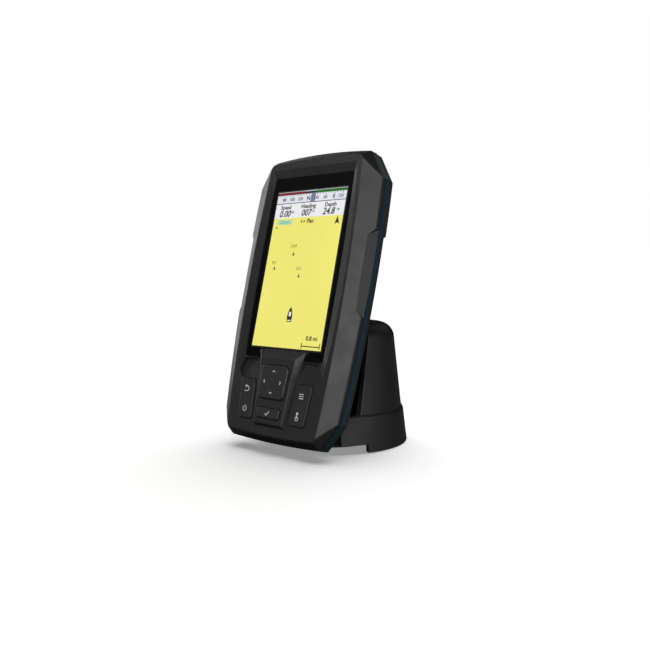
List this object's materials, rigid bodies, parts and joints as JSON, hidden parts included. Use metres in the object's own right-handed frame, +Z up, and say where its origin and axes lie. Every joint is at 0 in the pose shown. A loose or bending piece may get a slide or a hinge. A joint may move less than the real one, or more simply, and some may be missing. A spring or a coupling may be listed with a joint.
{
  "type": "fish finder",
  "caption": "Portrait handheld-size sonar display unit with a keypad, latched into a cradle on a hooded tilt and swivel mount.",
  "frame": {"origin": "on the mounting surface, on the swivel axis, at the centre of the base's screw circle", "axes": "+X to the viewer's right when facing the screen, +Y to the back of the mount, +Z up along the swivel axis"},
  "size_m": [0.0972, 0.1036, 0.1731],
  "materials": {
    "case_black": "fine moulded texture, satin",
    "rear_black": "fine moulded texture, satin",
    "trim_blue": "satin",
    "lens_glass": "gloss",
    "lcd": "lit display",
    "display_frame": "brushed",
    "backlight_white": "matte",
    "key_black": "soft satin",
    "silicone": "matte",
    "seal_black": "matte",
    "board_green": "solder mask",
    "chip_black": "matte",
    "ribbon_amber": "gloss",
    "shield_tin": "satin",
    "ferrite": "matte",
    "antenna_ceramic": "matte ceramic",
    "steel": "satin",
    "contact_gold": "polished",
    "brass": "satin",
    "friction_nylon": "matte",
    "tower_black": "fine moulded texture, satin",
    "base_black": "fine moulded texture, satin",
    "cradle_black": "fine moulded texture, satin",
    "latch_black": "satin"
  },
  "bodies": {
    "base": {"mount_base": "base_black", "base_insert": "brass", "swivel_bolt": "steel", "swivel_washer": "steel", "swivel_ring": "friction_nylon"},
    "tower": {"tower": "tower_black", "tilt_bolt": "steel", "tilt_nut": "steel", "tilt_washers": "friction_nylon"},
    "cradle": {"cradle": "cradle_black", "cradle_connector": "cradle_black", "contact_sockets": "contact_gold", "cradle_cover": "cradle_black", "power_cable_gland": "seal_black", "transducer_cable_gland": "seal_black", "latch_pin": "steel", "latch_spring": "steel"},
    "latch": {"release_latch": "latch_black"},
    "unit": {"front_housing": "case_black", "rear_housing": "rear_black", "accent_trim": "trim_blue", "housing_seal": "seal_black", "housing_screws": "steel", "display_lens": "lens_glass", "lens_adhesive": "seal_black", "lcd_panel": "lcd", "lcd_backlight": "backlight_white", "lcd_frame": "display_frame", "lcd_ribbon": "ribbon_amber", "ribbon_socket": "chip_black", "keypad_membrane": "silicone", "keypad_board": "board_green", "main_circuit_board": "board_green", "board_screws": "steel", "board_link": "chip_black", "processor": "chip_black", "memory_chips": "chip_black", "shield_can": "shield_tin", "sonar_chips": "chip_black", "sonar_transformer": "ferrite", "capacitors": "shield_tin", "gps_antenna": "antenna_ceramic", "beeper": "chip_black", "connector_block": "rear_black", "contact_pins": "contact_gold", "connector_seal": "silicone", "vent_plug": "seal_black"},
    "dpad_rocker": {"dpad_rocker_plate": "silicone"},
    "dpad": {"dpad_cap": "key_black"},
    "enter": {"enter_key": "key_black"},
    "back_power": {"back_power_key": "key_black"},
    "menu_mark": {"menu_mark_key": "key_black"}
  },
  "joints": [
    {"name": "swivel", "type": "hinge", "parent": "base", "child": "tower", "pos_m": [0, 0, 0.02], "axis": [0, 0, 1], "range_deg": [-90, 90]},
    {"name": "tilt", "type": "hinge", "parent": "tower", "child": "cradle", "pos_m": [0, 0.0035, 0.057], "axis": [1, 0, 0], "range_deg": [-18, 2.5]},
    {"name": "unit_release", "type": "slide", "parent": "cradle", "child": "unit", "axis": [0, -0.9674, 0.2531], "range_m": [0, 0.036]},
    {"name": "latch_press", "type": "hinge", "parent": "cradle", "child": "latch", "pos_m": [0, 0.0058, 0.08897], "axis": [1, 0, 0], "range_deg": [0, 6], "stiffness_Nm_per_rad": 0.15, "springref_deg": -3.44, "deforming": ["latch_spring"]},
    {"name": "dpad_up_down", "type": "hinge", "parent": "unit", "child": "dpad_rocker", "pos_m": [0, -0.04561, 0.03885], "axis": [1, 0, 0], "range_deg": [-2.5, 2.5], "stiffness_Nm_per_rad": 0.3},
    {"name": "dpad_left_right", "type": "hinge", "parent": "dpad_rocker", "child": "dpad", "pos_m": [0, -0.04648, 0.03907], "axis": [0, 0.2531, 0.9674], "range_deg": [-2.5, 2.5], "stiffness_Nm_per_rad": 0.3},
    {"name": "enter_press", "type": "slide", "parent": "unit", "child": "enter", "axis": [0, 0.9674, -0.2531], "range_m": [0, 0.0008], "stiffness_N_per_m": 1500, "springref_m": -0.0004},
    {"name": "back_power_rock", "type": "hinge", "parent": "unit", "child": "back_power", "pos_m": [-0.0212, -0.04869, 0.02844], "axis": [1, 0, 0], "range_deg": [-2.5, 2.5], "stiffness_Nm_per_rad": 0.3},
    {"name": "menu_mark_rock", "type": "hinge", "parent": "unit", "child": "menu_mark", "pos_m": [0.0212, -0.04869, 0.02844], "axis": [1, 0, 0], "range_deg": [-2.5, 2.5], "stiffness_Nm_per_rad": 0.3}
  ]
}
